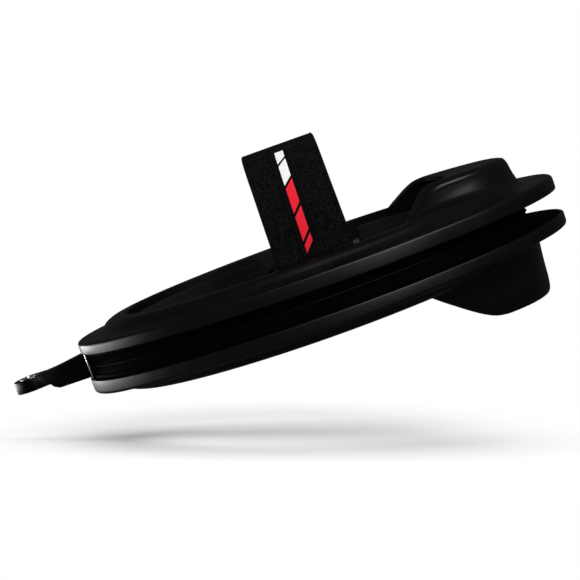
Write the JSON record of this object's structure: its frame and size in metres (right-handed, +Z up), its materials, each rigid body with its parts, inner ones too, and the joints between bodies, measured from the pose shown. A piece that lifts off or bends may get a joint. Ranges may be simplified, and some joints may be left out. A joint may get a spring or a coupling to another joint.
{
  "type": "training shield frame",
  "caption": "Oval double-flanged ring shield with a through opening, a hood over each face of the tail, a wide elastic strap and a swinging tether lug.",
  "frame": {"origin": "under the middle of the whole part, at the level of the lower hood's flat bottom", "axes": "+X towards the hooded tail, the lug reaches towards -X; +Y towards the far side of the ring; +Z up towards the strap's crown"},
  "size_m": [0.5796, 0.28, 0.2301],
  "materials": {
    "shell_black": "satin moulded, near black",
    "rim_black": "matt moulded, near black",
    "liner_grey": "matt soft liner",
    "webbing_black": "woven elastic",
    "stripe_tape": "woven red and white blocks",
    "block_black": "satin",
    "lug_black": "satin moulded",
    "bright_steel": "polished",
    "zinc_steel": "bright zinc",
    "black_steel": "black oxide, satin",
    "zinc_alloy": "turned",
    "bronze": "sintered"
  },
  "bodies": {
    "frame": {"upper_shell": "shell_black", "lower_shell": "shell_black", "upper_rim": "rim_black", "lower_rim": "rim_black", "seam_bead": "rim_black", "nose_liner": "liner_grey", "tail_liner": "liner_grey", "strap_webbing": "webbing_black", "stripe_tape": "stripe_tape", "near_anchor_block": "block_black", "far_anchor_block": "block_black", "near_clamp_plate": "black_steel", "far_clamp_plate": "black_steel", "near_nut_strip": "zinc_steel", "far_nut_strip": "zinc_steel", "near_strap_rod": "zinc_steel", "far_strap_rod": "zinc_steel", "near_clamp_screws": "black_steel", "far_clamp_screws": "black_steel", "case_screws": "black_steel", "case_standoffs": "zinc_alloy", "upper_lug_bush": "bronze", "lower_lug_bush": "bronze", "upper_thrust_washer": "bronze", "lower_thrust_washer": "bronze", "stop_pins": "bright_steel"},
    "lug": {"tether_lug": "lug_black", "lug_eyelet": "bright_steel", "lug_pin": "zinc_steel", "pin_clips": "zinc_steel"}
  },
  "joints": [
    {"name": "lug_swing", "type": "hinge", "parent": "frame", "child": "lug", "pos_m": [-0.19925, 0, 0.086], "axis": [0, 0, 1], "range_deg": [-18, 18]}
  ]
}
